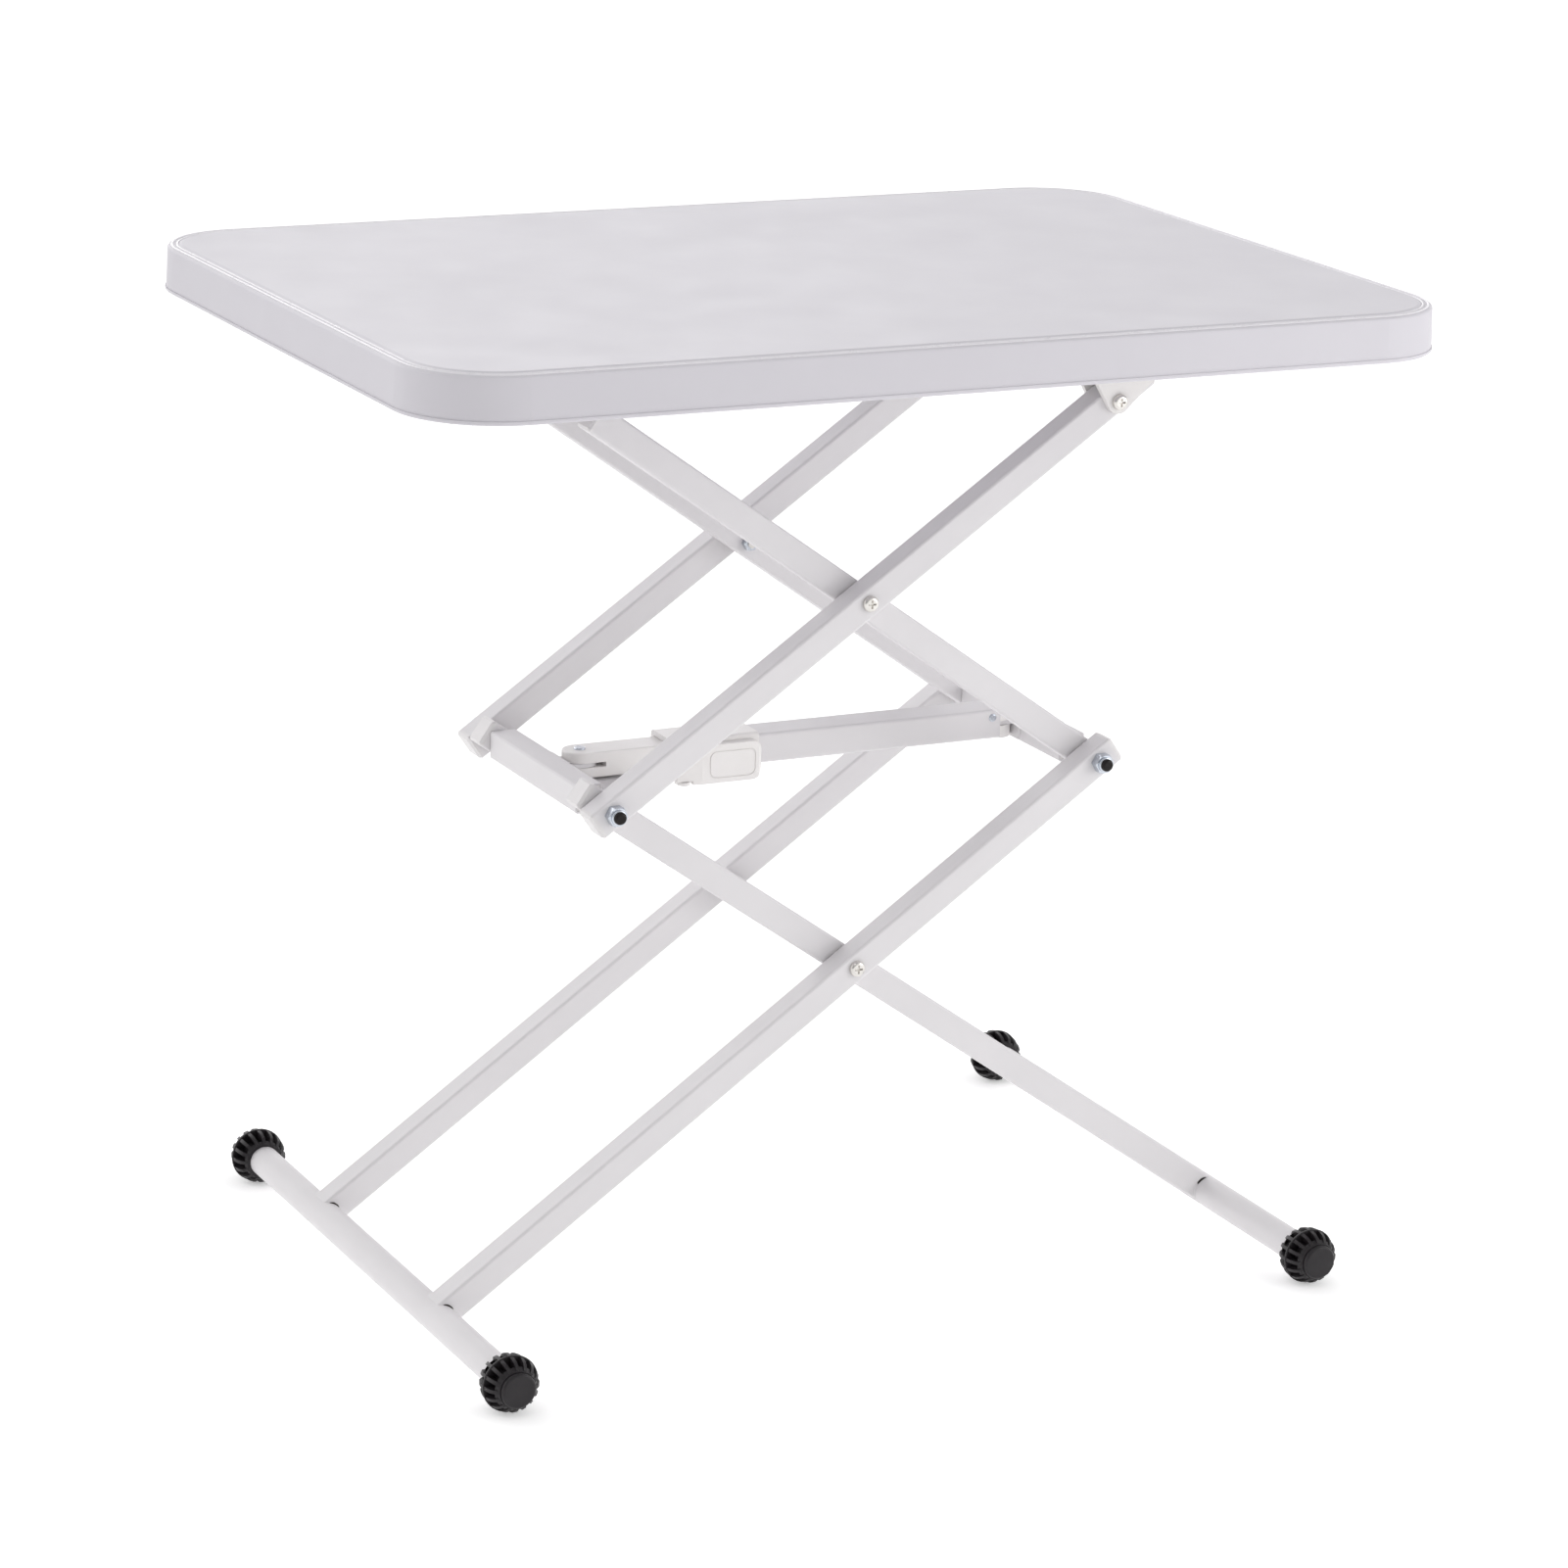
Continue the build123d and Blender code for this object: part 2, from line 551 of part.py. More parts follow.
def strut_slide_bar():
    """The plastic inner bar: a forked round end, a smooth middle and notches for the lock."""
    half = STRUT_WIDTH / 2 - STRUT_WALL - SLIDE_GAP
    rise = STRUT_HEIGHT / 2 - STRUT_WALL - SLIDE_GAP
    pin = X_LEFT + STRUT_PIN
    end = X_LEFT + SLIDE_BAR_END
    shape = block(pin, end, -half, half, Z_STRUT - rise, Z_STRUT + rise)
    shape += rod_z(pin, 0, half, Z_STRUT - rise, Z_STRUT + rise)
    faces = shape.faces().sort_by(Axis.Z)
    shape = fillet(faces[-1].edges() + faces[0].edges(), 1.2)
    shape -= block(pin - half - 1, pin + 15, -half - 1, half + 1,
                   Z_STRUT - FORK_SLOT / 2, Z_STRUT + FORK_SLOT / 2)
    shape -= rod_z(pin, 0, RIVET_R + RUNNING, Z_STRUT - 20, Z_STRUT + 20)
    for i in range(NOTCHES):
        x = X_LEFT + NOTCH_START + NOTCH_PITCH * i
        shape -= block(x - 3, x + 3, -half - 1, -half + 3, Z_STRUT - 5, Z_STRUT + 5)
    return shape


def strut_tube():
    """The steel outer tube, with a window for the lever's tooth."""
    section = RectangleRounded(STRUT_WIDTH, STRUT_HEIGHT, 2.2)
    section -= RectangleRounded(STRUT_WIDTH - 2 * STRUT_WALL, STRUT_HEIGHT - 2 * STRUT_WALL, 0.9)
    start = X_LEFT + TUBE_START
    end = X_RIGHT - STRUT_PIN
    tube = Pos(start, 0, Z_STRUT) * extrude(Plane.YZ * section, amount=end - start)
    tube -= tooth_window() + rod_z(end, 0, RIVET_R + RUNNING, Z_STRUT - 20, Z_STRUT + 20)
    for side in (-1, 1):
        tube -= rod_y(end - 6.5, Z_STRUT + 5, 1.6, side * 10, side * 16)
    return tube


def strut_end_fork():
    """The plastic end of the steel tube: a core inside it and a round fork outside."""
    pin = X_RIGHT - STRUT_PIN
    half = STRUT_WIDTH / 2
    rise = STRUT_HEIGHT / 2
    core_y = half - STRUT_WALL - 0.1
    core_z = rise - STRUT_WALL - 0.1
    shape = rod_z(pin, 0, half, Z_STRUT - rise, Z_STRUT + rise)
    shape = shape & block(pin, pin + 30, -20, 20, Z_STRUT - 20, Z_STRUT + 20)
    core = block(pin - 28, pin, -core_y, core_y, Z_STRUT - core_z, Z_STRUT + core_z)
    shape += fillet(core.edges().filter_by(Axis.X), 1.2)
    shape -= block(pin - 12.6, pin + 20, -20, 20, Z_STRUT - FORK_SLOT / 2, Z_STRUT + FORK_SLOT / 2)
    shape -= rod_z(pin, 0, RIVET_R + RUNNING, Z_STRUT - 20, Z_STRUT + 20)
    for side in (-1, 1):
        shape -= rod_y(pin - 6.5, Z_STRUT + 5, 1.6, side * 8, side * 16)
    return shape


def strut_rivets():
    """Blind rivets that hold the end fork in the steel tube."""
    x = X_RIGHT - STRUT_PIN - 6.5
    face = STRUT_WIDTH / 2

    def rivet(side):
        head = Cylinder(2.9, 1.0)
        head = fillet(head.edges().group_by(Axis.Z)[-1], 0.8)
        head = outward(side, x, face + 0.5, Z_STRUT + 5) * head
        return head + rod_y(x, Z_STRUT + 5, 1.55, side * 9, side * face)
    return pair(rivet)


def pin_rivet(x, low, high):
    """A vertical rivet with a low round head at each end."""
    shape = rod_z(x, 0, RIVET_R, low, high)
    top = rod_z(x, 0, 4.2, high, high + 1.4)
    bottom = rod_z(x, 0, 4.2, low - 1.4, low)
    shape += fillet(top.edges().group_by(Axis.Z)[-1], 1.0)
    return shape + fillet(bottom.edges().group_by(Axis.Z)[0], 1.0)


# Lock ---------------------------------------------------------------------------------------

def tooth_window():
    """The opening in the housing and the tube that the lever's tooth swings through."""
    return block(X_LEFT + 103.5, X_LEFT + 114, -20, -STRUT_WIDTH / 2 + 2,
                 Z_STRUT - 4, Z_STRUT + 4)


def lock_housing():
    """The sleeve at the steel tube's mouth, with two ears for the lever's pin."""
    half = STRUT_WIDTH / 2 + HOUSING_WALL + 0.6
    rise = STRUT_HEIGHT / 2 + HOUSING_WALL
    left = X_LEFT + HOUSING_START
    right = X_LEFT + HOUSING_END
    shape = block(left, right, -half, half, Z_STRUT - rise, Z_STRUT + rise)
    shape = fillet(shape.edges().filter_by(Axis.X), 3.0)
    pin_x = X_LEFT + LEVER_PIN_X
    top = Z_MIDDLE + LEVER_TOP + 0.4
    bottom = Z_MIDDLE + LEVER_BOTTOM + LEVER_NOTCH - 0.4
    for z0, z1 in ((top, top + 2.6), (bottom - 2.2, bottom)):
        shape += block(pin_x - 4.5, pin_x + 4.5, -half + 3.2, -LEVER_PIN_Y, z0, z1)
        shape += rod_z(pin_x, -LEVER_PIN_Y, 4.0, z0, z1)
    shape += block(pin_x - 4.5, pin_x + 4.5, -half + 0.2, -half + 3.2,
                   bottom - 2.2, Z_STRUT - rise + 3)
    inner_y = STRUT_WIDTH / 2 + 0.1
    inner_z = STRUT_HEIGHT / 2 + 0.1
    bar_y = STRUT_WIDTH / 2 - STRUT_WALL + 0.1
    bar_z = STRUT_HEIGHT / 2 - STRUT_WALL + 0.1
    shape -= block(X_LEFT + TUBE_START, right + 1, -inner_y, inner_y,
                   Z_STRUT - inner_z, Z_STRUT + inner_z)
    shape -= block(left - 1, right + 1, -bar_y, bar_y, Z_STRUT - bar_z, Z_STRUT + bar_z)
    shape -= tooth_window()
    return shape - rod_z(pin_x, -LEVER_PIN_Y, LEVER_PIN_R + 0.02, Z_MIDDLE - 20, Z_MIDDLE + 20)


def lock_lever():
    """The pad that is pulled out to lift its tooth from the slide bar."""
    back = -LEVER_BACK
    front = -LEVER_FRONT
    left = LEVER_PIN_X - 6.0
    right = HOUSING_END
    plan = Polygon((left, -20.6), (left, -21.8), (109, front), (right - 3, front),
                   (right, front + 3), (right, back), (LEVER_PIN_X, back), align=None)
    height = LEVER_TOP - LEVER_BOTTOM
    body = Pos(0, 0, LEVER_BOTTOM) * extrude(plan, amount=height)
    notch = LEVER_BOTTOM + LEVER_NOTCH
    outline = Polygon((left - 1, notch), (103, notch), (103, LEVER_BOTTOM), (right, LEVER_BOTTOM),
                      (right, LEVER_TOP), (left - 1, LEVER_TOP), align=None)
    outline = fillet(outline.vertices().group_by(Axis.X)[-1], 8.0)
    body = body & (Pos(0, 0, 0) * extrude(Plane.XZ * outline, amount=40))
    body -= block(114, right - 3, back - 3.6, back + 1, LEVER_BOTTOM + 2.5, LEVER_TOP - 2.5)
    ring = RectangleRounded(36, 20, 5.5) - RectangleRounded(34, 18, 4.5)
    ring = extrude(Plane.XZ * ring, amount=2)
    body -= Pos(132.5, front + 0.6, (LEVER_TOP + LEVER_BOTTOM) / 2 - 0.5) * ring
    reach = STRUT_WIDTH / 2 - STRUT_WALL
    body += block(105, 110, -reach - 0.1, back - 1, STRUT_UP - 3, STRUT_UP + 3)
    body -= rod_z(LEVER_PIN_X, -LEVER_PIN_Y, LEVER_PIN_R + RUNNING, -30, 30)
    return Pos(X_LEFT, 0, Z_MIDDLE) * body


def lock_pin():
    low = Z_MIDDLE + LEVER_BOTTOM - 0.2
    high = Z_MIDDLE + LEVER_TOP + 3.0
    return rod_z(X_LEFT + LEVER_PIN_X, -LEVER_PIN_Y, LEVER_PIN_R, low, high)


# Nodes --------------------------------------------------------------------------------------

STRUT_LOW = Z_STRUT - STRUT_HEIGHT / 2
STRUT_HIGH = Z_STRUT + STRUT_HEIGHT / 2
BAR_HIGH = STRUT_HIGH - STRUT_WALL - SLIDE_GAP

NODES = {
    "table_top": table_top(),
    "hinge_brackets": pair(hinge_bracket),
    "hinge_bracket_screws": hinge_bracket_screws(),
    "hinge_screws": hinge_screws(),
    "hinge_nuts": hinge_nuts(),
    "slide_rails": pair(slide_rail),
    "slide_rail_screws": slide_rail_screws(),
    "upper_outer_legs": pair(upper_outer_leg),
    "upper_outer_plugs": upper_outer_plugs(),
    "upper_pivot_screws": crossing_screws(CENTRE_X, Z_UPPER),
    "upper_pivot_nuts": crossing_nuts(CENTRE_X, Z_UPPER),
    "upper_pivot_washers": leg_washers(CENTRE_X, Z_UPPER, SCREW_R),
    "upper_inner_legs": pair(upper_inner_leg),
    "upper_inner_plugs": upper_inner_plugs(),
    "slide_rod": slide_rod(),
    "lower_outer_legs": pair(lower_outer_leg),
    "lower_outer_plugs": pair(lower_outer_plug),
    "left_foot_bar": foot_bar(X_FOOT_LEFT),
    "left_foot_caps": foot_caps(X_FOOT_LEFT),
    "lower_pivot_screws": crossing_screws(CENTRE_X, Z_LOWER),
    "lower_pivot_nuts": crossing_nuts(CENTRE_X, Z_LOWER),
    "lower_pivot_washers": leg_washers(CENTRE_X, Z_LOWER, SCREW_R),
    "lower_inner_legs": pair(lower_inner_leg),
    "lower_inner_plugs": pair(lower_inner_plug),
    "right_foot_bar": foot_bar(X_FOOT_RIGHT),
    "right_foot_caps": foot_caps(X_FOOT_RIGHT),
    "left_crossbar": crossbar(X_LEFT),
    "left_crossbar_inserts": crossbar_inserts(X_LEFT),
    "left_middle_studs": middle_studs(X_LEFT),
    "left_middle_nuts": middle_nuts(X_LEFT),
    "left_nut_caps": nut_caps(X_LEFT),
    "left_middle_washers": leg_washers(X_LEFT, Z_MIDDLE, STUD_R),
    "left_strut_bracket": strut_bracket(X_LEFT, 1, LEFT_TONGUE_R, 58.0),
    "strut_slide_bar": strut_slide_bar(),
    "left_strut_rivet": pin_rivet(X_LEFT + STRUT_PIN, Z_MIDDLE - 8.5, BAR_HIGH),
    "right_crossbar": crossbar(X_RIGHT),
    "right_crossbar_inserts": crossbar_inserts(X_RIGHT),
    "right_middle_studs": middle_studs(X_RIGHT),
    "right_middle_nuts": middle_nuts(X_RIGHT),
    "right_nut_caps": nut_caps(X_RIGHT),
    "right_middle_washers": leg_washers(X_RIGHT, Z_MIDDLE, STUD_R),
    "right_strut_bracket": strut_bracket(X_RIGHT, -1, RIGHT_TONGUE_R, 0),
    "strut_tube": strut_tube(),
    "strut_end_fork": strut_end_fork(),
    "strut_rivets": strut_rivets(),
    "right_strut_rivet": pin_rivet(X_RIGHT - STRUT_PIN, STRUT_LOW, STRUT_HIGH),
    "lock_housing": lock_housing(),
    "lock_pin": lock_pin(),
    "lock_lever": lock_lever(),
}

os.makedirs("parts", exist_ok=True)
for name, shape in NODES.items():
    export_step(shape, f"parts/{name}.step")
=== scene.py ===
"""Looks for a height-adjustable folding table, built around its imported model. Metres, +Z up."""

import json
import math

import bmesh
import bpy
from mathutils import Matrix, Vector


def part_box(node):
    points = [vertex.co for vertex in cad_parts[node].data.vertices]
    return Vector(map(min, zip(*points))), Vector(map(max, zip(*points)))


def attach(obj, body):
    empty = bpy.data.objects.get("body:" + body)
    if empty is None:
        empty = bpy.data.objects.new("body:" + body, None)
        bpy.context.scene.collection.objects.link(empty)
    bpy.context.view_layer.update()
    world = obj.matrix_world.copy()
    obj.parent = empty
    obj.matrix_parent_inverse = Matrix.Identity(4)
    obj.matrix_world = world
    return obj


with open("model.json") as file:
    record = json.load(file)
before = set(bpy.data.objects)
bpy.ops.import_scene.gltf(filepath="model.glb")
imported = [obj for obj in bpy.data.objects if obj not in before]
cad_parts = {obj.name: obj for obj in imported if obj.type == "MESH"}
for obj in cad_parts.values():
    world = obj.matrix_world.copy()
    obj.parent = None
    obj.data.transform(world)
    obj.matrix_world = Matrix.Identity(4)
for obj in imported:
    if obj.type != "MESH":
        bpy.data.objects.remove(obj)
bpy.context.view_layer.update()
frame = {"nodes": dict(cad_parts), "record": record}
NODES = frame["nodes"]


# Materials ----------------------------------------------------------------------------------

def link(tree, a, b):
    tree.links.new(a, b)


def noise(tree, coords, scale, detail=3.0, rough=0.5):
    """A noise texture in object space."""
    node = tree.nodes.new("ShaderNodeTexNoise")
    node.inputs["Scale"].default_value = scale
    node.inputs["Detail"].default_value = detail
    node.inputs["Roughness"].default_value = rough
    link(tree, coords, node.inputs["Vector"])
    return node.outputs["Fac"]


def spread(tree, value, low, high, out_low, out_high):
    node = tree.nodes.new("ShaderNodeMapRange")
    node.inputs["From Min"].default_value = low
    node.inputs["From Max"].default_value = high
    node.inputs["To Min"].default_value = out_low
    node.inputs["To Max"].default_value = out_high
    link(tree, value, node.inputs["Value"])
    return node.outputs["Result"]


def blend_colours(tree, factor, first, second):
    node = tree.nodes.new("ShaderNodeMix")
    node.data_type = "RGBA"
    node.inputs["A"].default_value = (*first, 1.0)
    node.inputs["B"].default_value = (*second, 1.0)
    link(tree, factor, node.inputs["Factor"])
    return node.outputs["Result"]


def bump(tree, height, depth, strength, below=None):
    node = tree.nodes.new("ShaderNodeBump")
    node.inputs["Strength"].default_value = strength
    node.inputs["Distance"].default_value = depth
    link(tree, height, node.inputs["Height"])
    if below is not None:
        link(tree, below, node.inputs["Normal"])
    return node.outputs["Normal"]


def surface(name, colour, shade, rough, patch=14.0, metallic=0.0, coat=0.0, coat_rough=0.2,
            grain=(), specular=0.5):
    """A moulded, painted or plated surface: its tone and gloss drift a little in soft patches,
    and each (scale, depth) in grain adds relief."""
    material = bpy.data.materials.new(name)
    material.use_nodes = True
    tree = material.node_tree
    shader = tree.nodes["Principled BSDF"]
    coords = tree.nodes.new("ShaderNodeTexCoord").outputs["Object"]
    drift = spread(tree, noise(tree, coords, patch, 4.0, 0.6), 0.3, 0.7, 0.0, 1.0)
    link(tree, blend_colours(tree, drift, colour, shade), shader.inputs["Base Color"])
    gloss = noise(tree, coords, patch * 3.1, 5.0, 0.65)
    link(tree, spread(tree, gloss, 0.3, 0.7, rough[0], rough[1]), shader.inputs["Roughness"])
    shader.inputs["Metallic"].default_value = metallic
    shader.inputs["Specular IOR Level"].default_value = specular
    shader.inputs["Coat Weight"].default_value = coat
    shader.inputs["Coat Roughness"].default_value = coat_rough
    normal = None
    for scale, depth in grain:
        normal = bump(tree, noise(tree, coords, scale, 3.0, 0.55), depth, 0.6, normal)
    if normal is not None:
        link(tree, normal, shader.inputs["Normal"])
    return material


# Painted shade: the skirt of the top is given a darker colour than its face, most at the left end, standing
# in for the shade that falls there (metres).
SKIRT_DARK_BELOW = 0.7035
SKIRT_LIGHT_ABOVE = 0.7055
SKIRT_LEFT_X = -0.38
SKIRT_RIGHT_X = 0.30
SKIRT_LEFT_SHADE = 0.88
SKIRT_RIGHT_SHADE = 0.94


def painted_skirt_shade(material):
    """Paints shade into a material's colour on the skirt: scales it by height and along X in object space.
    """
    tree = material.node_tree
    shader = tree.nodes["Principled BSDF"]
    old = shader.inputs["Base Color"].links[0].from_socket
    parts = tree.nodes.new("ShaderNodeSeparateXYZ")
    link(tree, tree.nodes.new("ShaderNodeTexCoord").outputs["Object"], parts.inputs["Vector"])
    along = spread(tree, parts.outputs["X"], SKIRT_LEFT_X, SKIRT_RIGHT_X,
                   SKIRT_LEFT_SHADE, SKIRT_RIGHT_SHADE)
    above = spread(tree, parts.outputs["Z"], SKIRT_DARK_BELOW, SKIRT_LIGHT_ABOVE, 0.0, 1.0)
    # Painted shade factor: 1 on the face, the darker ramp along X on the skirt.
    tone = tree.nodes.new("ShaderNodeMix")
    tone.inputs["B"].default_value = 1.0
    link(tree, along, tone.inputs["A"])
    link(tree, above, tone.inputs["Factor"])
    scaled = tree.nodes.new("ShaderNodeVectorMath")
    scaled.operation = "SCALE"
    link(tree, old, scaled.inputs[0])
    link(tree, tone.outputs["Result"], scaled.inputs["Scale"])
    link(tree, scaled.outputs["Vector"], shader.inputs["Base Color"])


TOP_WHITE = surface("moulded_top_white", (0.648, 0.630, 0.672), (0.626, 0.608, 0.650), (0.42, 0.52),
                    patch=6.0, grain=((420.0, 0.00006), (1500.0, 0.00004)))
# Painted shade on the top's skirt, darkest at the left end.
painted_skirt_shade(TOP_WHITE)
PAINT = surface("white_powder_coat", (0.705, 0.688, 0.700), (0.678, 0.661, 0.673), (0.42, 0.52),
                patch=11.0, specular=0.35, grain=((650.0, 0.00005), (2200.0, 0.00002)))
PLASTIC = surface("warm_white_moulding", (0.805, 0.785, 0.775), (0.775, 0.755, 0.740), (0.34, 0.46),
                  patch=30.0, grain=((900.0, 0.00003), (2600.0, 0.00002)))
PLUG = surface("plug_white_moulding", (0.715, 0.697, 0.700), (0.690, 0.672, 0.672), (0.36, 0.48),
               patch=30.0, grain=((900.0, 0.00003), (2600.0, 0.00002)))
NYLON = surface("natural_nylon", (0.74, 0.72, 0.68), (0.68, 0.66, 0.61), (0.4, 0.5), patch=60.0,
                grain=((1500.0, 0.00002),))
BLACK = surface("black_moulding", (0.011, 0.009, 0.011), (0.018, 0.015, 0.017), (0.36, 0.52),
                patch=70.0, specular=0.35, grain=((1400.0, 0.00005), (4200.0, 0.00002)))
GLOSS_BLACK = surface("glossy_black_cap", (0.012, 0.010, 0.010), (0.020, 0.017, 0.017), (0.16, 0.24),
                      patch=120.0, specular=0.12, coat=0.08, coat_rough=0.08, grain=((2600.0, 0.00001),))
BRIGHT = surface("bright_nickel", (0.74, 0.72, 0.69), (0.66, 0.64, 0.61), (0.12, 0.26), patch=180.0,
                 metallic=1.0, grain=((2600.0, 0.00001),))
ZINC = surface("zinc_plate", (0.60, 0.64, 0.70), (0.52, 0.55, 0.60), (0.16, 0.30), patch=220.0,
               metallic=1.0, grain=((1800.0, 0.000015),))

# Painted highlight: a lighter, glossier copy of the top's white, so the rim beads show as bright lines.
RIM_PAINTED_HIGHLIGHT = surface("rim_painted_highlight", (0.830, 0.814, 0.845), (0.795, 0.779, 0.812), (0.24, 0.34), patch=20.0,
                    coat=0.3, coat_rough=0.12, grain=((900.0, 0.00002),))
# Painted shade: near-black, for the bead that stands in for the shade inside each foot joint's open gap.
PAINTED_GAP_SHADE = surface("painted_gap_shade", (0.020, 0.017, 0.016), (0.045, 0.038, 0.034), (0.6, 0.8), patch=400.0,
              specular=0.1, grain=((1800.0, 0.00004),))

FINISH = {"top_plastic": TOP_WHITE, "white_paint": PAINT, "off_white_plastic": PLASTIC,
          "nylon": NYLON, "black_plastic": BLACK, "bright_screws": BRIGHT, "zinc_steel": ZINC}

SPECIAL = {"left_nut_caps": GLOSS_BLACK, "right_nut_caps": GLOSS_BLACK,
           "upper_outer_plugs": PLUG, "upper_inner_plugs": PLUG,
           "lower_outer_plugs": PLUG, "lower_inner_plugs": PLUG}

for part in frame["record"]["subparts"]:
    piece = NODES[part["node"]]
    for place in piece.material_slots:
        place.material = SPECIAL.get(part["node"], FINISH[part["material_slot"]])


# Detail pieces ------------------------------------------------------------------------------

TUBE = 0.020           # leg tube, square
TUBE_CORNER = 0.002
BAR_R = 0.011          # foot bar
OUTER_Y = 0.105        # mid-planes of the outer and inner legs
INNER_Y = 0.0835
RIM_DROP = 0.0012      # step round the top, below its raised field
TOP_CORNER = 0.066
BEAD_SIDES = 10
# The next three values place the dark bead of painted shade on each foot joint's front.
GAP_PROUD = 0.0003     # how far the dark gap stands out of the leg's front face
GAP_TOP = 0.0078       # where the gap starts above the leg's axis, and its length downwards
GAP_LENGTH = 0.0084


def centre(node):
    low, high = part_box(node)
    return (Vector(low) + Vector(high)) / 2


def bead(name, routes, body, material, radius, ripple=0.0, pitch=0.0011, closed=False):
    """A round bead of metal along each route of points, rippled as it was laid; the dark beads made with it
    are painted shade for an open gap.
    """
    mesh = bmesh.new()
    for route in routes:
        points = resample(route, pitch, closed)
        count = len(points)
        rings = []
        across = None
        for i, point in enumerate(points):
            before = points[(i - 1) % count] if closed or i else point
            after = points[(i + 1) % count] if closed or i < count - 1 else point
            along = (after - before).normalized()
            across = along.orthogonal() if across is None else across - across.dot(along) * along
            across.normalize()
            other = along.cross(across)
            ends = 1.0 if closed else min(1.0, 0.35 + 0.3 * min(i, count - 1 - i))
            swell = radius * ends * (1.0 + ripple * math.sin(2.4 * i) + 0.5 * ripple * math.sin(0.7 * i))
            rings.append([mesh.verts.new(point + swell * (math.cos(a) * across + math.sin(a) * other))
                          for a in (math.tau * k / BEAD_SIDES for k in range(BEAD_SIDES))])
        spans = count if closed else count - 1
        for i in range(spans):
            first, second = rings[i], rings[(i + 1) % count]
            shift = 0
            if closed and i == count - 1:
                shift = min(range(BEAD_SIDES), key=lambda k: (first[0].co - second[k].co).length)
            for k in range(BEAD_SIDES):
                mesh.faces.new((first[k], first[(k + 1) % BEAD_SIDES], second[(k + 1 + shift) % BEAD_SIDES],
                                second[(k + shift) % BEAD_SIDES]))
        if not closed:
            mesh.faces.new(list(reversed(rings[0])))
            mesh.faces.new(rings[-1])
    bmesh.ops.recalc_face_normals(mesh, faces=mesh.faces)
    return finished(name, mesh, body, material)


def resample(route, pitch, closed):
    """Even points along a run of straight steps."""
    route = [Vector(p) for p in route] + ([Vector(route[0])] if closed else [])
    lengths = [(b - a).length for a, b in zip(route, route[1:])]
    total = sum(lengths)
    count = max(3, round(total / pitch))
    points = []
    step, start = 0, 0.0
    for i in range(count if closed else count + 1):
        want = total * i / count
        while step < len(lengths) - 1 and want > start + lengths[step]:
            start += lengths[step]
            step += 1
        share = (want - start) / lengths[step] if lengths[step] else 0.0
        points.append(route[step].lerp(route[step + 1], min(1.0, share)))
    return points


def finished(name, mesh, body, material):
    data = bpy.data.meshes.new(name)
    mesh.to_mesh(data)
    mesh.free()
    for face in data.polygons:
        face.use_smooth = True
    data.materials.append(material)
    piece = bpy.data.objects.new(name, data)
    bpy.context.collection.objects.link(piece)
    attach(piece, body)
    return piece


def lower_outline():
    """The square tube's outline below its upper face, as (across, up) points."""
    half, flat = TUBE / 2, TUBE / 2 - TUBE_CORNER
    points = [(-half, flat * (1 - step / 4)) for step in range(9)]
    for x, start in ((-flat, 180), (flat, 270)):
        for turn in range(start, start + 91, 15):
            angle = math.radians(turn)
            points.append((x + TUBE_CORNER * math.cos(angle), -flat + TUBE_CORNER * math.sin(angle)))
    return points + [(half, flat * (step / 4 - 1)) for step in range(1, 9)]


def leg_foot_joint(bar_node, far_node, y, outline):
    """Where a leg's outline meets the round foot bar."""
    foot, far = centre(bar_node), centre(far_node)
    along = Vector((far.x - foot.x, 0.0, far.z - foot.z)).normalized()
    up = Vector((-along.z, 0.0, along.x)) * (1.0 if along.x > 0 else -1.0)
    middle = Vector((foot.x, y, foot.z))
    points = []
    for across, rise in outline:
        reach = math.sqrt(BAR_R ** 2 - rise ** 2)
        points.append(middle + Vector((0.0, across, 0.0)) + rise * up + reach * along)
    return points


def foot_joints(side_name, bar_node, far_node, leg_y, body):
    """Beads round each joint's sides and lower face, and on its front a dark bead of painted shade where
    the gap is left open.
    """
    below = lower_outline()
    gap = [(-TUBE / 2 - GAP_PROUD, GAP_TOP - GAP_LENGTH * step / 6) for step in range(7)]
    welds, gap_shade_routes = [], []
    for side in (-1, 1):
        welds.append(leg_foot_joint(bar_node, far_node, side * leg_y, below))
        # Dark bead of painted shade in each joint's open gap.
        gap_shade_routes.append(leg_foot_joint(bar_node, far_node, side * leg_y, gap))
    bead(f"{side_name}_foot_welds", welds, body, PAINT, 0.0009, 0.16)
    bead(f"{side_name}_foot_gap_shade", gap_shade_routes, body, PAINTED_GAP_SHADE, 0.0010, 0.05)


def bracket_welds(side_name, way, body):
    """Two short upright beads that hold the strut's bracket to its crossbar."""
    low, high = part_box(f"{side_name}_strut_bracket")
    bar_low, bar_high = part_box(f"{side_name}_crossbar")
    face = bar_high[0] if way > 0 else bar_low[0]
    z_low = (bar_low[2] + bar_high[2]) / 2 - 0.0075
    routes = [[(face + way * 0.0002, side * 0.0152, z_low),
               (face + way * 0.0002, side * 0.0152, z_low + 0.015)] for side in (-1, 1)]
    bead(f"{side_name}_bracket_welds", routes, body, PAINT, 0.0012, 0.18)


def rounded_loop(half_x, half_y, corner, z, steps=16):
    """Points round a rectangle with round corners."""
    points = []
    for turn, (sx, sy) in enumerate(((1, 1), (-1, 1), (-1, -1), (1, -1))):
        for i in range(steps + 1):
            angle = math.radians(90 * turn + 90 * i / steps)
            points.append((sx * (half_x - corner) + corner * math.cos(angle),
                           sy * (half_y - corner) + corner * math.sin(angle), z))
    return points


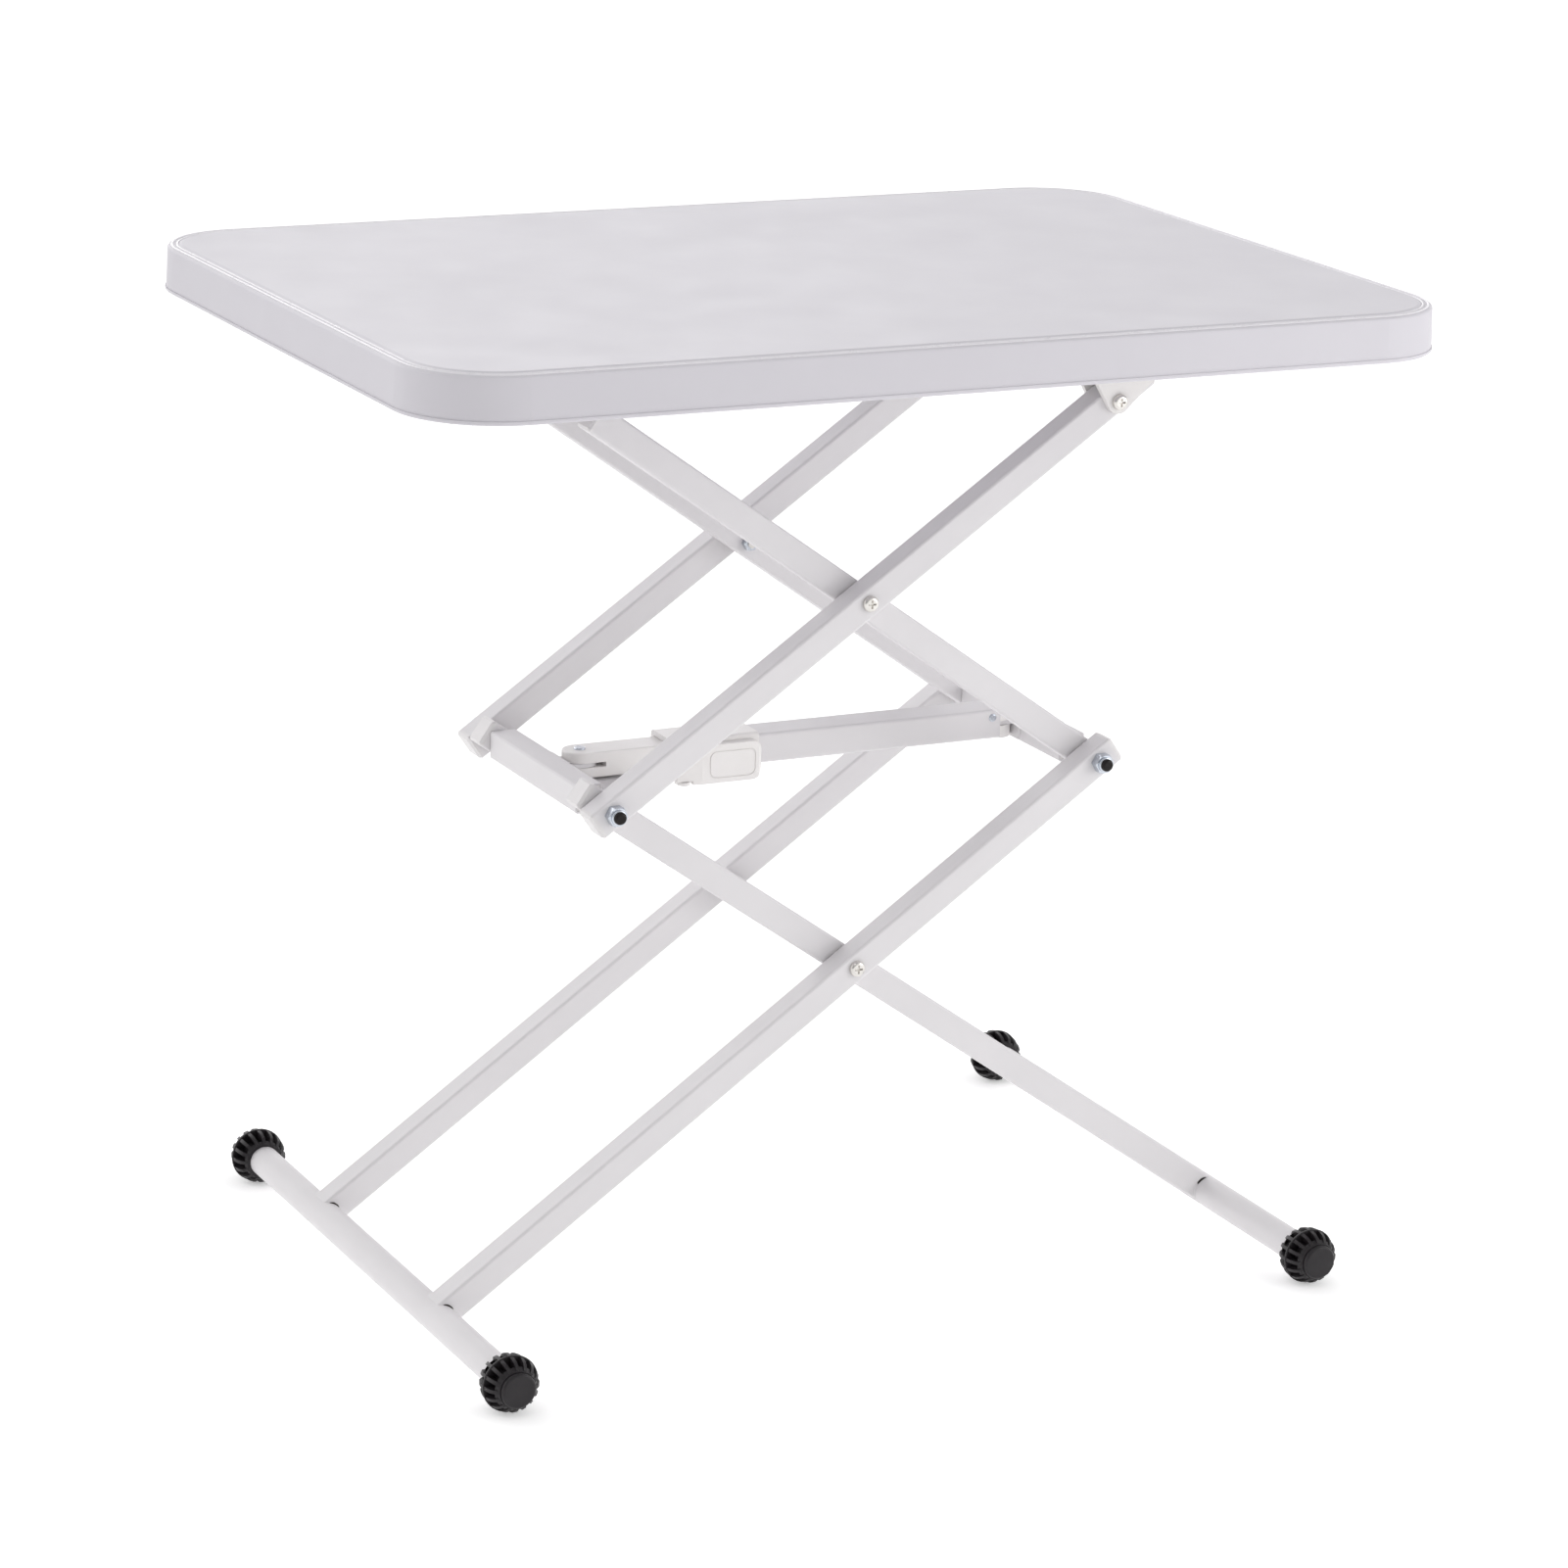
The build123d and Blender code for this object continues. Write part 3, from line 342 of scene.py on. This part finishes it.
def rim_beads():
    """Two fine moulded beads on the step round the top, outside its raised field, coloured lighter than the
    top as painted highlight.
    """
    low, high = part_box("table_top")
    z = high[2] - RIM_DROP
    for name, inset in (("outer", 0.0046), ("inner", 0.0082)):
        route = rounded_loop(high[0] - inset, high[1] - inset, TOP_CORNER - inset, z)
        bead(f"{name}_rim_bead", [route], "tabletop", RIM_PAINTED_HIGHLIGHT, 0.0008,
             pitch=0.0025, closed=True)


rim_beads()
foot_joints("left", "left_foot_bar", "right_middle_studs", OUTER_Y, "lower_outer_frame")
foot_joints("right", "right_foot_bar", "left_middle_studs", INNER_Y, "lower_inner_frame")
bracket_welds("left", 1, "slide_bar_half")
bracket_welds("right", -1, "strut_tube_half")


# Stage --------------------------------------------------------------------------------------

def stage_floor():
    mesh = bpy.data.meshes.new("floor")
    reach = 40.0
    mesh.from_pydata([(-reach, -reach, 0), (reach, -reach, 0), (reach, reach, 0), (-reach, reach, 0)],
                     [], [(0, 1, 2, 3)])
    floor = bpy.data.objects.new("floor", mesh)
    bpy.context.collection.objects.link(floor)
    material = bpy.data.materials.new("pale_floor")
    material.use_nodes = True
    shader = material.node_tree.nodes["Principled BSDF"]
    shader.inputs["Base Color"].default_value = (0.9, 0.9, 0.9, 1.0)
    shader.inputs["Roughness"].default_value = 0.9
    shader.inputs["Specular IOR Level"].default_value = 0.0
    shader.inputs["Emission Color"].default_value = (1.0, 1.0, 1.0, 1.0)
    shader.inputs["Emission Strength"].default_value = 0.38
    mesh.materials.append(material)


def soft_box(name, place, aim, size, power, tint=(1.0, 1.0, 1.0)):
    lamp = bpy.data.lights.new(name, "AREA")
    lamp.shape = "RECTANGLE"
    lamp.size, lamp.size_y = size
    lamp.energy = power
    lamp.color = tint
    light = bpy.data.objects.new(name, lamp)
    light.location = place
    light.rotation_euler = (Vector(aim) - Vector(place)).to_track_quat("-Z", "Y").to_euler()
    bpy.context.collection.objects.link(light)


def lobe(tree, direction, azimuth, elevation, strength):
    """Light from one soft patch of the surroundings; 0 degrees is +X and 90 is +Y."""
    turn, rise = math.radians(azimuth), math.radians(elevation)
    aim = (math.cos(rise) * math.cos(turn), math.cos(rise) * math.sin(turn), math.sin(rise))
    dot = tree.nodes.new("ShaderNodeVectorMath")
    dot.operation = "DOT_PRODUCT"
    dot.inputs[1].default_value = aim
    link(tree, direction, dot.inputs[0])
    front = tree.nodes.new("ShaderNodeMath")
    front.operation = "MAXIMUM"
    front.inputs[1].default_value = 0.0
    link(tree, dot.outputs["Value"], front.inputs[0])
    soft = tree.nodes.new("ShaderNodeMath")
    soft.operation = "POWER"
    soft.inputs[1].default_value = 4.0
    link(tree, front.outputs["Value"], soft.inputs[0])
    scaled = tree.nodes.new("ShaderNodeMath")
    scaled.operation = "MULTIPLY"
    scaled.inputs[1].default_value = strength
    link(tree, soft.outputs["Value"], scaled.inputs[0])
    return scaled.outputs["Value"]


LOBES = [(0, 15, 0.56), (45, 15, 0.45), (90, 15, 1.17), (135, 15, 1.16), (180, 15, 0.40),
         (270, 15, 0.235), (315, 15, 0.59)]
BASE = 0.285


def lighting():
    world = bpy.data.worlds.new("studio")
    world.use_nodes = True
    tree = world.node_tree
    back = tree.nodes["Background"]
    back.inputs["Color"].default_value = (1.0, 0.997, 1.0, 1.0)
    direction = tree.nodes.new("ShaderNodeTexCoord").outputs["Generated"]
    total = None
    for azimuth, elevation, strength in LOBES:
        value = lobe(tree, direction, azimuth, elevation, strength)
        add = tree.nodes.new("ShaderNodeMath")
        add.operation = "ADD"
        add.inputs[1].default_value = BASE if total is None else 0.0
        link(tree, value, add.inputs[0])
        if total is not None:
            link(tree, total, add.inputs[1])
        total = add.outputs["Value"]
    link(tree, total, back.inputs["Strength"])
    bpy.context.scene.world = world
    soft_box("right_box", (2.6, -2.6, 1.5), (0.3, 0.0, 0.5), (1.6, 2.4), 8.6)
    soft_box("right_near", (1.3, -1.3, 0.75), (0.4, 0.0, 0.6), (0.8, 0.8), 4.1)
    soft_box("front_top_box", (-1.07, -1.63, 2.83), (0.0, 0.0, 0.4), (1.2, 1.2), 7.0)
    soft_box("back_box", (0.4, 3.2, 1.6), (0.0, 0.0, 0.4), (2.6, 1.6), 4.9)


def camera():
    lens = bpy.data.cameras.new("camera")
    lens.lens = 118.41
    lens.sensor_width = 36.0
    lens.clip_start = 0.05
    lens.clip_end = 200.0
    view = bpy.data.objects.new("camera", lens)
    view.location = (-1.5854, -3.1330, 1.3520)
    view.rotation_euler = [math.radians(a) for a in (73.897, -1.788, -26.404)]
    bpy.context.collection.objects.link(view)
    bpy.context.scene.camera = view


stage_floor()
lighting()
camera()
bpy.context.scene.view_settings.view_transform = "Standard"
